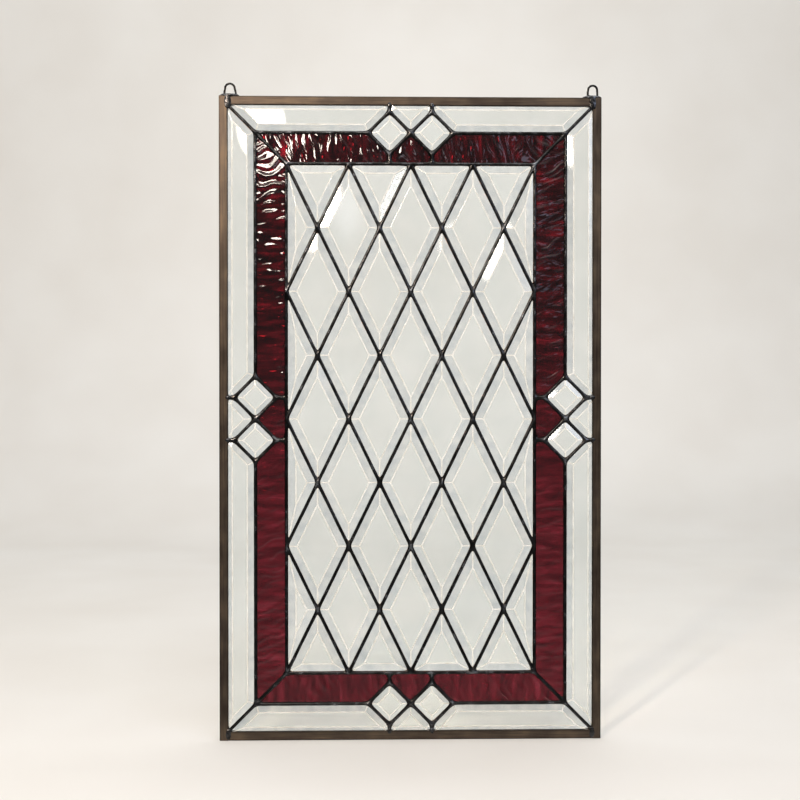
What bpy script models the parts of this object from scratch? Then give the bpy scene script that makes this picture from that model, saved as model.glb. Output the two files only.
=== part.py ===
"""A hanging window panel: bevelled and rippled glass in soldered foil, in a channelled metal frame.

Metres. X runs to the right, Y away from the viewer and Z up. The origin lies on the panel's
centre line, level with the inside top of its two hanging loops. A plan point is (x, z).
"""

import math

import bmesh
import bpy
from mathutils import Matrix, Vector
from mathutils.geometry import delaunay_2d_cdt

# Frame of U-shaped channel: the side rails run the full height
PANEL_WIDTH = 0.5207
PANEL_HEIGHT = 0.8763
RAIL_FACE = 0.0120
RAIL_WALL = 0.0013
RAIL_ROUNDING = 0.0007
GLASS_IN_RAIL = 0.0045

# Seams, measured between the middles of their beads
CLEAR_BORDER = 0.0367
RUBY_BORDER = 0.0422
SQUARE_SIDE = 0.0410
DIAMOND_COLUMNS = 4
DIAMOND_ROWS = 4

# Solder: a bead on each face, joined by the foil between the panes
BEAD_WIDTH = 0.0045
FRONT_BEAD_HEIGHT = 0.0014
BACK_BEAD_HEIGHT = 0.0010
FOIL_WIDTH = 0.0010
SOLDER_LAP = 0.0003

# Glass
BEVELLED_GLASS = 0.0050
BEVEL_EDGE = 0.0026
RUBY_GLASS = 0.0030
BORDER_BEVEL = 0.0100
DIAMOND_BEVEL = 0.0122
SQUARE_BEVEL = 0.0080

# Hanging loops, each with its legs in the solder that caps the frame's corner
LOOP_WIRE = 0.0028
LOOP_RISE = 0.0160
LOOP_SPAN = {"left": 0.0150, "right": 0.0137}
LOOP_INSET = {"left": 0.0150, "right": 0.0119}
CAP_LENGTH = {"left": 0.0280, "right": 0.0260}
CAP_HEIGHT = 0.0036
CAP_BACK_STEP = 0.0006
JOINT_PAD_WIDTH = 0.0100
JOINT_PAD_DROP = 0.0180
JOINT_PAD_THICKNESS = 0.0010

# Gap between two pieces that touch
CLEARANCE = 0.0003

# Bars that join the panes of one node under their seam
BAR_LAP = 0.0005
BAR_STEP = 0.0002
BAR_SHARE = 0.4

# What follows from the sizes above
SLOPE = (BEVELLED_GLASS - BEVEL_EDGE) / min(BORDER_BEVEL, DIAMOND_BEVEL, SQUARE_BEVEL)
LIP_GLASS = BEVEL_EDGE + (BEVELLED_GLASS - BEVEL_EDGE) * min(1.0, GLASS_IN_RAIL / BORDER_BEVEL)
GROOVE = LIP_GLASS + 2 * (2 * CLEARANCE + SOLDER_LAP)
RAIL_DEPTH = GROOVE + 2 * RAIL_WALL
GLASS_BACK = LIP_GLASS / 2
GLASS_GAP = FOIL_WIDTH / 2 + CLEARANCE
BEAD_SEAT = max(RUBY_GLASS, BEVEL_EDGE + SLOPE * (BEAD_WIDTH / 2 - GLASS_GAP))
FRONT_SEAT = GLASS_BACK - BEAD_SEAT - CLEARANCE
BACK_SEAT = GLASS_BACK + CLEARANCE
FRAME_TOP = -LOOP_RISE
CENTRE_Z = FRAME_TOP - PANEL_HEIGHT / 2
HALF_DIAGONAL = SQUARE_SIDE / math.sqrt(2)
FRONT = Vector((0, -1, 0))

# Shares of a bead's half width and height at which its rounded face turns
DOME = ((0.36, 0.50), (0.34, 0.28))

QUARTER_TURNS = {"top": 0, "right": 1, "bottom": 2, "left": 3}


def rectangle_at(depth_in):
    """Half width and half height of the rectangle this far inside the panel's edge."""
    return Vector((PANEL_WIDTH / 2 - depth_in, PANEL_HEIGHT / 2 - depth_in))


EDGE_LINE = rectangle_at(RAIL_FACE - GLASS_IN_RAIL - GLASS_GAP)
LIP_LINE = rectangle_at(RAIL_FACE + CLEARANCE)
OUTER_LINE = rectangle_at(RAIL_FACE + CLEAR_BORDER)
INNER_LINE = rectangle_at(RAIL_FACE + CLEAR_BORDER + RUBY_BORDER)


# Scene and materials


def clear_scene():
    for obj in list(bpy.data.objects):
        bpy.data.objects.remove(obj, do_unlink=True)


def new_collection(name, hidden=False):
    collection = bpy.data.collections.new(name)
    collection.hide_render = hidden
    bpy.context.scene.collection.children.link(collection)
    return collection


def finish(name, colour, roughness, metallic=0.0, transmission=0.0):
    material = bpy.data.materials.new(name)
    material.use_nodes = True
    shader = material.node_tree.nodes["Principled BSDF"]
    shader.inputs["Base Color"].default_value = (*colour, 1.0)
    shader.inputs["Roughness"].default_value = roughness
    shader.inputs["Metallic"].default_value = metallic
    shader.inputs["Transmission Weight"].default_value = transmission
    material.diffuse_color = (*colour, 1.0)
    return material


# Plan geometry


def edges_of(outline):
    return list(zip(outline, outline[1:] + outline[:1]))


def inset(outline, distances):
    """An anticlockwise outline with each edge moved inwards and its corners met again."""
    lines = []
    for (start, end), distance in zip(edges_of(outline), distances):
        along = (end - start).normalized()
        lines.append((start + Vector((-along.y, along.x)) * distance, along))
    corners = []
    for (start, along), (other, across) in zip(lines[-1:] + lines[:-1], lines):
        reach = (other - start).cross(across) / along.cross(across)
        corners.append(start + along * reach)
    return corners


def even_inset(outline, distance):
    return inset(outline, [distance] * len(outline))


def turned(outline, quarter):
    """The outline turned clockwise by quarter turns about the panel's middle."""
    for _ in range(quarter):
        outline = [Vector((point.y, -point.x)) for point in outline]
    return outline


def both_ways(outline):
    """An outline on the positive half of a side, and its mirror image, both anticlockwise."""
    return [Vector((-point.x, point.y)) for point in reversed(outline)], outline


def side_reach(rectangle, quarter):
    """Half length along a side, and the side's distance from the panel's middle."""
    return (rectangle.x, rectangle.y) if quarter % 2 == 0 else (rectangle.y, rectangle.x)


# Seams of one side, worked out with the side at the top


def clear_outlines(quarter):
    """Long pane, five-sided pane and long pane; the last edge of each lies in the rail."""
    edge_half, edge = side_reach(EDGE_LINE, quarter)
    outer_half, outer = side_reach(OUTER_LINE, quarter)
    tip = outer + HALF_DIAGONAL
    long_pane = [
        Vector((HALF_DIAGONAL, edge)),
        Vector((HALF_DIAGONAL, tip)),
        Vector((2 * HALF_DIAGONAL, outer)),
        Vector((outer_half, outer)),
        Vector((edge_half, edge)),
    ]
    middle_pane = [
        Vector((-HALF_DIAGONAL, edge)),
        Vector((-HALF_DIAGONAL, tip)),
        Vector((0, outer)),
        Vector((HALF_DIAGONAL, tip)),
        Vector((HALF_DIAGONAL, edge)),
    ]
    first, last = both_ways(long_pane)
    return [turned(outline, quarter) for outline in (first, middle_pane, last)]


def ruby_outlines(quarter):
    """Long pane, five-sided pane and long pane inside the clear ones."""
    outer_half, outer = side_reach(OUTER_LINE, quarter)
    inner_half, inner = side_reach(INNER_LINE, quarter)
    tip = outer - HALF_DIAGONAL
    long_pane = [
        Vector((HALF_DIAGONAL, tip)),
        Vector((HALF_DIAGONAL, inner)),
        Vector((inner_half, inner)),
        Vector((outer_half, outer)),
        Vector((2 * HALF_DIAGONAL, outer)),
    ]
    middle_pane = [
        Vector((-HALF_DIAGONAL, inner)),
        Vector((HALF_DIAGONAL, inner)),
        Vector((HALF_DIAGONAL, tip)),
        Vector((0, outer)),
        Vector((-HALF_DIAGONAL, tip)),
    ]
    first, last = both_ways(long_pane)
    return [turned(outline, quarter) for outline in (first, middle_pane, last)]


def square_outlines(quarter):
    outer = side_reach(OUTER_LINE, quarter)[1]
    square = [
        Vector((0, outer)),
        Vector((HALF_DIAGONAL, outer - HALF_DIAGONAL)),
        Vector((2 * HALF_DIAGONAL, outer)),
        Vector((HALF_DIAGONAL, outer + HALF_DIAGONAL)),
    ]
    return [turned(outline, quarter) for outline in both_ways(square)]


def stub_seams(quarter):
    """The short seams from the squares' points to the rail, and to the inner border."""
    edge = side_reach(EDGE_LINE, quarter)[1]
    outer = side_reach(OUTER_LINE, quarter)[1]
    inner = side_reach(INNER_LINE, quarter)[1]
    to_rail = []
    to_field = []
    for across in (-HALF_DIAGONAL, HALF_DIAGONAL):
        tip = outer + HALF_DIAGONAL
        to_rail.append(turned([Vector((across, tip)), Vector((across, edge))], quarter))
        tip = outer - HALF_DIAGONAL
        to_field.append(turned([Vector((across, inner)), Vector((across, tip))], quarter))
    return to_rail, to_field


def border_region(rectangle, quarter, inwards):
    """Outline of a side's whole border: its three panes with the short seams left out."""
    outer_half, outer = side_reach(OUTER_LINE, quarter)
    far_half, far = side_reach(rectangle, quarter)
    tip = outer - HALF_DIAGONAL if inwards else outer + HALF_DIAGONAL
    region = [
        Vector((-far_half, far)),
        Vector((-outer_half, outer)),
        Vector((-2 * HALF_DIAGONAL, outer)),
        Vector((-HALF_DIAGONAL, tip)),
        Vector((0, outer)),
        Vector((HALF_DIAGONAL, tip)),
        Vector((2 * HALF_DIAGONAL, outer)),
        Vector((outer_half, outer)),
        Vector((far_half, far)),
    ]
    return turned(region[::-1] if inwards else region, quarter)


# Diamond field: seams cross at the nodes (i, j) with i + j even


def node(i, j):
    return Vector((
        INNER_LINE.x * (i / DIAMOND_COLUMNS - 1),
        INNER_LINE.y * (1 - j / DIAMOND_ROWS),
    ))


def diamond_outline(i, j):
    return [node(i - 1, j), node(i, j + 1), node(i + 1, j), node(i, j - 1)]


def half_diamond_outline(i, j):
    """The half of a diamond that lies inside the field, when its middle is on the edge."""
    last_i, last_j = 2 * DIAMOND_COLUMNS, 2 * DIAMOND_ROWS
    inside = {
        "top": (j > 0, node(i, j - 1)),
        "left": (i > 0, node(i - 1, j)),
        "bottom": (j < last_j, node(i, j + 1)),
        "right": (i < last_i, node(i + 1, j)),
    }
    return [corner for kept, corner in inside.values() if kept]


def odd_places(count):
    return range(1, 2 * count, 2)


def half_diamond_places():
    """Middles of the half diamonds on each side, without the two next to its corners."""
    columns = list(odd_places(DIAMOND_COLUMNS))[1:-1]
    rows = list(odd_places(DIAMOND_ROWS))[1:-1]
    return {
        "top": [(i, 0) for i in columns],
        "bottom": [(i, 2 * DIAMOND_ROWS) for i in columns],
        "left": [(0, j) for j in rows],
        "right": [(2 * DIAMOND_COLUMNS, j) for j in rows],
    }


def corner_places():
    """For each corner: the middles of its two half diamonds, and the seam between them."""
    last_i, last_j = 2 * DIAMOND_COLUMNS, 2 * DIAMOND_ROWS
    corners = {}
    for height, j, near_j in (("top", 0, 1), ("bottom", last_j, last_j - 1)):
        for hand, i, near_i in (("left", 0, 1), ("right", last_i, last_i - 1)):
            corners[height + "_" + hand] = {
                "halves": ((near_i, j), (i, near_j)),
                "seam": (node(i, j), node(near_i, near_j)),
                "region": anticlockwise([
                    node(i, j),
                    node(2 * near_i - i, j),
                    node(i, 2 * near_j - j),
                ]),
            }
    return corners


def anticlockwise(outline):
    turning = sum(start.cross(end) for start, end in edges_of(outline))
    return outline if turning > 0 else outline[::-1]


# Solids


def place(name, mesh, material, location=(0, 0, 0)):
    """A sub-part in the panel's collection, hung from the panel's own empty."""
    obj = bpy.data.objects.new(name, mesh)
    obj.location = location
    obj.parent = panel
    mesh.materials.clear()
    mesh.materials.append(material)
    panel_collection.objects.link(obj)
    return obj


def helper(name, mesh):
    obj = bpy.data.objects.new(name, mesh)
    obj.display_type = "WIRE"
    obj.hide_render = True
    cutter_collection.objects.link(obj)
    return obj


def extruded_outline(name, outline, length):
    """A flat curve of one closed outline, extruded to a length about its middle."""
    curve = bpy.data.curves.new(name, "CURVE")
    curve.dimensions = "2D"
    curve.fill_mode = "BOTH"
    curve.extrude = length / 2
    spline = curve.splines.new("POLY")
    spline.points.add(len(outline) - 1)
    for point, corner in zip(spline.points, outline):
        point.co = (corner.x, corner.y, 0, 1)
    spline.use_cyclic_u = True
    return curve


def mesh_of_curve(name, curve):
    """A curve's solid as a closed mesh, with its caps joined to its sides."""
    guide = bpy.data.objects.new(name + "_guide", curve)
    cutter_collection.objects.link(guide)
    bpy.context.view_layer.update()
    graph = bpy.context.evaluated_depsgraph_get()
    mesh = bpy.data.meshes.new_from_object(guide.evaluated_get(graph))
    bpy.data.objects.remove(guide)
    solid = bmesh.new()
    solid.from_mesh(mesh)
    bmesh.ops.remove_doubles(solid, verts=solid.verts, dist=1e-6)
    bmesh.ops.recalc_face_normals(solid, faces=solid.faces)
    solid.to_mesh(mesh)
    solid.free()
    mesh.name = name
    return mesh


def upright_plate(name, outlines, front, back):
    """A plate in the plane of the panel, between two depths, the later outlines holes in it."""
    inside_without_holes = 2
    corners = []
    loops = []
    for outline in outlines:
        loops.append(list(range(len(corners), len(corners) + len(outline))))
        corners += outline
    points, _, triangles, *_ = delaunay_2d_cdt(corners, [], loops, inside_without_holes, 1e-7)
    solid = bmesh.new()
    vertices = [solid.verts.new((point.x, back, CENTRE_Z + point.y)) for point in points]
    face = [solid.faces.new([vertices[k] for k in triangle]) for triangle in triangles]
    raised = bmesh.ops.extrude_face_region(solid, geom=face)["geom"]
    moved = [part for part in raised if isinstance(part, bmesh.types.BMVert)]
    bmesh.ops.translate(solid, vec=FRONT * (back - front), verts=moved)
    bmesh.ops.recalc_face_normals(solid, faces=solid.faces)
    mesh = bpy.data.meshes.new(name)
    solid.to_mesh(mesh)
    solid.free()
    return mesh


def round_face(mesh, facing, height, half_width):
    """Raises the face of a plate in two steps, each drawn in from its edges."""
    solid = bmesh.new()
    solid.from_mesh(mesh)
    for in_share, up_share in DOME:
        solid.normal_update()
        level = max(vertex.co.dot(facing) for vertex in solid.verts)
        flat = [
            face for face in solid.faces
            if all(level - vertex.co.dot(facing) < 1e-6 for vertex in face.verts)
        ]
        bmesh.ops.inset_region(
            solid,
            faces=flat,
            thickness=in_share * half_width,
            depth=up_share * height,
            use_even_offset=True,
            use_boundary=True,
        )
    solid.to_mesh(mesh)
    solid.free()


def bead_plate(name, outlines, seat, facing, height):
    """Solder on one face of the panel: a thin plate from its seat up, with a rounded face."""
    thickness = height * (1 - sum(up_share for _, up_share in DOME))
    ends = sorted((seat, seat + facing.y * thickness))
    mesh = upright_plate(name, outlines, *ends)
    round_face(mesh, facing, height, BEAD_WIDTH / 2)
    return mesh


def gathered(name, meshes):
    """One hidden helper out of meshes that are clear of each other."""
    solid = bmesh.new()
    for mesh in meshes:
        solid.from_mesh(mesh)
    together = bpy.data.meshes.new(name)
    solid.to_mesh(together)
    solid.free()
    return helper(name, together)


def united(name, first, second):
    """One closed mesh out of two groups of meshes, where only the groups overlap."""
    base = gathered(name + "_first", first)
    operand = gathered(name + "_second", second)
    join = base.modifiers.new("join", "BOOLEAN")
    join.operation = "UNION"
    join.solver = "EXACT"
    join.object = operand
    bpy.context.view_layer.update()
    graph = bpy.context.evaluated_depsgraph_get()
    mesh = bpy.data.meshes.new_from_object(base.evaluated_get(graph))
    for used in (base, operand):
        bpy.data.objects.remove(used)
    mesh.name = name
    return mesh


def cut_away(solid, point, outward):
    """Removes what lies beyond a plane and closes the cut."""
    bmesh.ops.bisect_plane(
        solid,
        geom=solid.verts[:] + solid.edges[:] + solid.faces[:],
        dist=1e-7,
        plane_co=point,
        plane_no=outward.normalized(),
        clear_outer=True,
    )
    bmesh.ops.holes_fill(solid, edges=[edge for edge in solid.edges if edge.is_boundary])


def ground_pane(name, outline, middle, thickness, bevel=0.0):
    """A slab of glass cut to its outline, then ground along each edge to a sloping bevel."""
    reach = 3 * max((corner - middle).length for corner in outline)
    slab = bmesh.new()
    bmesh.ops.create_cube(slab, size=1)
    bmesh.ops.scale(slab, vec=(reach, thickness, reach), verts=slab.verts)
    bmesh.ops.translate(slab, vec=(0, GLASS_BACK - thickness / 2, 0), verts=slab.verts)
    for start, end in edges_of(outline):
        along = (end - start).normalized()
        outward = Vector((along.y, 0, -along.x))
        point = Vector((start.x - middle.x, GLASS_BACK, start.y - middle.y))
        cut_away(slab, point, outward)
        if bevel:
            point.y -= BEVEL_EDGE
            cut_away(slab, point, outward * (thickness - BEVEL_EDGE) + FRONT * bevel)
    bmesh.ops.recalc_face_normals(slab, faces=slab.faces)
    mesh = bpy.data.meshes.new(name)
    slab.to_mesh(mesh)
    slab.free()
    return mesh


def middle_of(outline):
    return sum(outline, Vector((0, 0))) / len(outline)


def bar_under(name, seam, middle, thickness):
    """A bar across a seam, hidden under its bead, that makes one body of the two panes."""
    start, end = seam
    span = end - start
    centre = (start + end) / 2 - middle
    size = (
        span.length * BAR_SHARE,
        thickness - 2 * BAR_STEP,
        2 * (GLASS_GAP + BAR_LAP),
    )
    bar = bmesh.new()
    bmesh.ops.create_cube(bar, size=1)
    bmesh.ops.scale(bar, vec=size, verts=bar.verts)
    turn = Matrix.Rotation(-math.atan2(span.y, span.x), 4, "Y")
    shift = Matrix.Translation((centre.x, GLASS_BACK - thickness / 2, centre.y))
    bmesh.ops.transform(bar, matrix=shift @ turn, verts=bar.verts)
    mesh = bpy.data.meshes.new(name)
    bar.to_mesh(mesh)
    bar.free()
    return mesh


# Sub-parts


def channel_profile():
    """Outline of the channel: its back at 0, its lips at RAIL_FACE, outer corners rounded."""
    half = RAIL_DEPTH / 2
    inner = GROOVE / 2
    near, far = RAIL_ROUNDING, RAIL_FACE - RAIL_ROUNDING
    profile = []
    corners = (
        (near, RAIL_ROUNDING - half, math.pi),
        (far, RAIL_ROUNDING - half, 1.5 * math.pi),
        (far, half - RAIL_ROUNDING, 0.0),
        (near, half - RAIL_ROUNDING, 0.5 * math.pi),
    )
    for number, (x, y, start) in enumerate(corners):
        for step in range(3):
            angle = start + step * math.pi / 4
            offset = Vector((math.cos(angle), math.sin(angle))) * RAIL_ROUNDING
            profile.append(Vector((x, y)) + offset)
        if number == 1:
            profile += [
                Vector((RAIL_FACE, -inner)),
                Vector((RAIL_WALL, -inner)),
                Vector((RAIL_WALL, inner)),
                Vector((RAIL_FACE, inner)),
            ]
    return profile


def make_frame(material):
    between = PANEL_WIDTH - 2 * (RAIL_FACE + CLEARANCE)
    half = rectangle_at(0)
    rails = {
        "left": (PANEL_HEIGHT, (-half.x, 0, CENTRE_Z), (0, 0, 0)),
        "right": (PANEL_HEIGHT, (half.x, 0, CENTRE_Z), (0, 0, math.pi)),
        "top": (between, (0, 0, FRAME_TOP), (0, math.pi / 2, 0)),
        "bottom": (between, (0, 0, FRAME_TOP - PANEL_HEIGHT), (0, -math.pi / 2, 0)),
    }
    for side, (length, location, rotation) in rails.items():
        name = "frame_rail_" + side
        curve = extruded_outline(name, channel_profile(), length)
        curve.materials.append(material)
        rail = bpy.data.objects.new(name, curve)
        rail.location = location
        rail.rotation_euler = rotation
        rail.parent = panel
        panel_collection.objects.link(rail)


def loop_wire(name, hand, seat):
    """A wire arch: two legs and a half circle, its inside top level with the origin."""
    radius = LOOP_SPAN[hand] / 2
    spring = LOOP_WIRE / 2 - radius
    points = [Vector((-radius, 0, seat))]
    for step in range(13):
        angle = math.pi * (1 - step / 12)
        points.append(Vector((radius * math.cos(angle), 0, spring + radius * math.sin(angle))))
    points.append(Vector((radius, 0, seat)))
    curve = bpy.data.curves.new(name, "CURVE")
    curve.dimensions = "3D"
    curve.bevel_depth = LOOP_WIRE / 2
    curve.bevel_resolution = 3
    curve.use_fill_caps = True
    spline = curve.splines.new("POLY")
    spline.points.add(len(points) - 1)
    for point, position in zip(spline.points, points):
        point.co = (*position, 1)
    return mesh_of_curve(name, curve)


def cap_outline(length):
    """A low hump over the frame's corner: its height falls with the fourth power."""
    rise = [Vector((length * (1 - step / 12), 0)) for step in range(13)]
    for point in rise:
        share = abs(2 * point.x / length - 1)
        point.y = CAP_HEIGHT * (1 - share**4)
    return rise


def make_loop(hand, material):
    """Wire arch, the solder cap that its legs stand in and the pad over the corner joint."""
    sign = -1 if hand == "left" else 1
    name = "hanging_loop_" + hand
    corner_x = PANEL_WIDTH / 2
    face = RAIL_DEPTH / 2 + CLEARANCE
    seat = FRAME_TOP + CLEARANCE
    wire = loop_wire(name + "_wire", hand, seat + LOOP_WIRE / 2)
    wire.transform(Matrix.Translation((sign * (corner_x - LOOP_INSET[hand]), 0, 0)))
    length = CAP_LENGTH[hand]
    cap_start = Vector((sign * (corner_x - length / 2) - length / 2, seat - CENTRE_Z))
    cap = [cap_start + point for point in cap_outline(length)]
    cap_front = -face - JOINT_PAD_THICKNESS / 2
    cap_back = RAIL_DEPTH / 2 - CAP_BACK_STEP
    cap_mesh = upright_plate(name + "_cap", [cap], cap_front, cap_back)
    joint_x = sign * (corner_x - RAIL_FACE)
    half = JOINT_PAD_WIDTH / 2
    pad_top = cap_start.y + CAP_HEIGHT / 2
    pad_end = Vector((joint_x, PANEL_HEIGHT / 2 - JOINT_PAD_DROP + half))
    pad = [Vector((joint_x + half, pad_top)), Vector((joint_x - half, pad_top))]
    for step in range(7):
        angle = math.pi * (1 + step / 6)
        pad.append(pad_end + Vector((math.cos(angle), math.sin(angle))) * half)
    pad_mesh = bead_plate(name + "_pad", [pad], -face, FRONT, JOINT_PAD_THICKNESS)
    place(name, united(name, [cap_mesh], [pad_mesh, wire]), material)


def make_lattice(material):
    """Beads on both faces, and the foil that joins them between the panes and in the rails."""
    outline = []
    bead_holes = []
    foil_holes = []
    to_lip = EDGE_LINE.x - LIP_LINE.x
    for quarter in QUARTER_TURNS.values():
        half, reach = side_reach(LIP_LINE, quarter)
        outline += turned([Vector((-half, reach))], quarter)
        for pane in clear_outlines(quarter):
            distances = [BEAD_WIDTH / 2] * (len(pane) - 1) + [to_lip]
            outline += inset(pane, distances)
        bead_holes += ruby_outlines(quarter) + square_outlines(quarter)
        foil_holes += square_outlines(quarter)
        foil_holes.append(border_region(EDGE_LINE, quarter, inwards=False))
        foil_holes.append(border_region(INNER_LINE, quarter, inwards=True))
    diamonds = [diamond_outline(i, j) for i, j in diamond_places()]
    halves = [
        half_diamond_outline(i, j)
        for places in half_diamond_places().values()
        for i, j in places
    ]
    bead_holes += diamonds + halves
    foil_holes += diamonds + halves
    for corner in corner_places().values():
        bead_holes += [half_diamond_outline(i, j) for i, j in corner["halves"]]
        foil_holes.append(corner["region"])
    beads = [outline] + [even_inset(hole, BEAD_WIDTH / 2) for hole in bead_holes]
    rim = even_inset(rectangle_corners(EDGE_LINE), -FOIL_WIDTH / 2)
    foil = [rim] + [even_inset(hole, FOIL_WIDTH / 2) for hole in foil_holes]
    front = bead_plate("front_beads", beads, FRONT_SEAT, FRONT, FRONT_BEAD_HEIGHT)
    back = bead_plate("back_beads", beads, BACK_SEAT, -FRONT, BACK_BEAD_HEIGHT)
    web = upright_plate("foil", foil, FRONT_SEAT - SOLDER_LAP, BACK_SEAT + SOLDER_LAP)
    place("solder_lattice", united("solder_lattice", [web], [front, back]), material)


def rectangle_corners(half):
    return [
        Vector((-half.x, -half.y)),
        Vector((half.x, -half.y)),
        Vector((half.x, half.y)),
        Vector((-half.x, half.y)),
    ]


def diamond_places():
    return [
        (i, j)
        for j in range(1, 2 * DIAMOND_ROWS)
        for i in range(1, 2 * DIAMOND_COLUMNS)
        if (i + j) % 2
    ]


def place_pane(name, seam_outline, thickness, bevel, material):
    """One pane in its own node, cut a little smaller than the seams around it."""
    middle = middle_of(seam_outline)
    outline = even_inset(seam_outline, GLASS_GAP)
    mesh = ground_pane(name, outline, middle, thickness, bevel)
    place(name, mesh, material, (middle.x, 0, CENTRE_Z + middle.y))


def place_joined_panes(name, seam_outlines, seams, sizes, material):
    """Panes that share a node, joined by bars under the beads of the seams between them."""
    thickness, bevel, edge = sizes
    middle = middle_of(sum(seam_outlines, []))
    panes = [
        ground_pane(f"{name}_{number}", even_inset(outline, GLASS_GAP), middle, thickness, bevel)
        for number, outline in enumerate(seam_outlines)
    ]
    bars = [
        bar_under(f"{name}_bar_{number}", seam, middle, edge)
        for number, seam in enumerate(seams)
    ]
    mesh = united(name, bars, panes)
    place(name, mesh, material, (middle.x, 0, CENTRE_Z + middle.y))


def make_borders(clear, ruby):
    bevelled = (BEVELLED_GLASS, BORDER_BEVEL, BEVEL_EDGE)
    flat = (RUBY_GLASS, 0.0, RUBY_GLASS)
    for side, quarter in QUARTER_TURNS.items():
        to_rail, to_field = stub_seams(quarter)
        place_joined_panes(
            "clear_border_" + side, clear_outlines(quarter), to_rail, bevelled, clear
        )
        place_joined_panes(
            "ruby_border_" + side, ruby_outlines(quarter), to_field, flat, ruby
        )
        for number, outline in enumerate(square_outlines(quarter), 1):
            name = f"square_{side}_{number}"
            place_pane(name, outline, BEVELLED_GLASS, SQUARE_BEVEL, clear)


def make_diamonds(clear):
    middle = node(1, 2)
    outline = even_inset([corner - middle for corner in diamond_outline(1, 2)], GLASS_GAP)
    origin = Vector((0, 0))
    shared = ground_pane("diamond", outline, origin, BEVELLED_GLASS, DIAMOND_BEVEL)
    for i, j in diamond_places():
        middle = node(i, j)
        place(f"diamond_{j}_{i}", shared, clear, (middle.x, 0, CENTRE_Z + middle.y))
    for side, places in half_diamond_places().items():
        for number, (i, j) in enumerate(places, 1):
            outline = half_diamond_outline(i, j)
            name = f"half_diamond_{side}_{number}"
            place_pane(name, outline, BEVELLED_GLASS, DIAMOND_BEVEL, clear)
    sizes = (BEVELLED_GLASS, DIAMOND_BEVEL, BEVEL_EDGE)
    for corner, found in corner_places().items():
        outlines = [half_diamond_outline(i, j) for i, j in found["halves"]]
        name = "corner_half_diamonds_" + corner
        place_joined_panes(name, outlines, [found["seam"]], sizes, clear)


clear_scene()
panel_collection = new_collection("window_panel")
cutter_collection = new_collection("window_panel_cutters", hidden=True)
panel = bpy.data.objects.new("window_panel", None)
panel_collection.objects.link(panel)

bronze = finish("bronze_patina_channel", (0.085, 0.062, 0.046), 0.55, metallic=0.7)
solder = finish("black_patina_solder", (0.022, 0.023, 0.023), 0.35, metallic=0.8)
clear_glass = finish("clear_bevelled_glass", (0.90, 0.93, 0.92), 0.02, transmission=1.0)
ruby_glass = finish("ruby_rippled_glass", (0.16, 0.005, 0.012), 0.05, transmission=1.0)

make_frame(bronze)
for hand in ("left", "right"):
    make_loop(hand, solder)
make_lattice(solder)
make_borders(clear_glass, ruby_glass)
make_diamonds(clear_glass)
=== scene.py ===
"""Looks of a hanging window panel of bevelled and rippled glass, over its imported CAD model.

Metres, in the CAD model's own frame: X to the right, Y away from the viewer and Z up. A point
of the panel's plan is (x, z), measured from the panel's middle.
"""

import itertools
import math

import bmesh
import bpy
import numpy as np
from mathutils import Matrix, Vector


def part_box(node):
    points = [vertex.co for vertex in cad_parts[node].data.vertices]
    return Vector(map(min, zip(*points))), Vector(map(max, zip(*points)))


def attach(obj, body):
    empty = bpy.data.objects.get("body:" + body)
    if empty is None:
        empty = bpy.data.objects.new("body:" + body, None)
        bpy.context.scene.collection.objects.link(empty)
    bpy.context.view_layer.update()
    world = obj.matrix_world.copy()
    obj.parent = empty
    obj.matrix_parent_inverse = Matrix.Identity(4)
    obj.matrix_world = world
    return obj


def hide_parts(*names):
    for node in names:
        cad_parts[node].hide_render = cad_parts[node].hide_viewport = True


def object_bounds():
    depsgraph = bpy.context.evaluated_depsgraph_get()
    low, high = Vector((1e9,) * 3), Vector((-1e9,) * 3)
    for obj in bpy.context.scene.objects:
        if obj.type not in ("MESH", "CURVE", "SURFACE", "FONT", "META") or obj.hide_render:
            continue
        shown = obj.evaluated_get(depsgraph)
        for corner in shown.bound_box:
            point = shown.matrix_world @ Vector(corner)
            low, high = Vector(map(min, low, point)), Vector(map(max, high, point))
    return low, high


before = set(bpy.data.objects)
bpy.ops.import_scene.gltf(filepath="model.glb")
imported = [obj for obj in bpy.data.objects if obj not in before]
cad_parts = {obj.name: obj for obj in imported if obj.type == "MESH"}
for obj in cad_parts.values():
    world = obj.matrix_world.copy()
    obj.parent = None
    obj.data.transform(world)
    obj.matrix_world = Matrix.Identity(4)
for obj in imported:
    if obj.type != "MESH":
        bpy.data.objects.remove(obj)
cad_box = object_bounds()


# Clear bevelled border
# Three panes of clear float glass on each side of the panel. Each is cut to its outline, then
# ground and polished to a wide sloping bevel, and its outer edge stands in the frame's groove.

MM = 0.001
rail_low, rail_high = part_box("frame_rail_left")
HALF_SIZE = np.array([-rail_low.x, (rail_high.z - rail_low.z) / 2])
MIDDLE_Z = (rail_high.z + rail_low.z) / 2
GLASS_GAP = 0.8 * MM
GLASS_IN_RAIL = 4.5 * MM
RAIL_FACE = 12.0 * MM
CLEAR_BORDER = 36.7 * MM
RUBY_BORDER = 42.2 * MM
EDGE_LINE = HALF_SIZE - (RAIL_FACE - GLASS_IN_RAIL - GLASS_GAP)
OUTER_LINE = HALF_SIZE - (RAIL_FACE + CLEAR_BORDER)
INNER_LINE = HALF_SIZE - (RAIL_FACE + CLEAR_BORDER + RUBY_BORDER)

# Half the diagonal of a square with sides of 41 mm.
POINT = 28.99 * MM
SIDES = {"top": 0, "right": 1, "bottom": 2, "left": 3}

GLASS_BACK = 1.84 * MM
BEVELLED_GLASS = 5.0 * MM
BEVEL_EDGE = 2.6 * MM
BORDER_BEVEL = 10.0 * MM
ARRIS = 0.8 * MM
GLASS_IOR = 1.52

panes = []


def reach(rectangle, quarter):
    """Half length along a side, and the side's distance from the middle."""
    return rectangle if quarter % 2 == 0 else rectangle[::-1]


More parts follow.
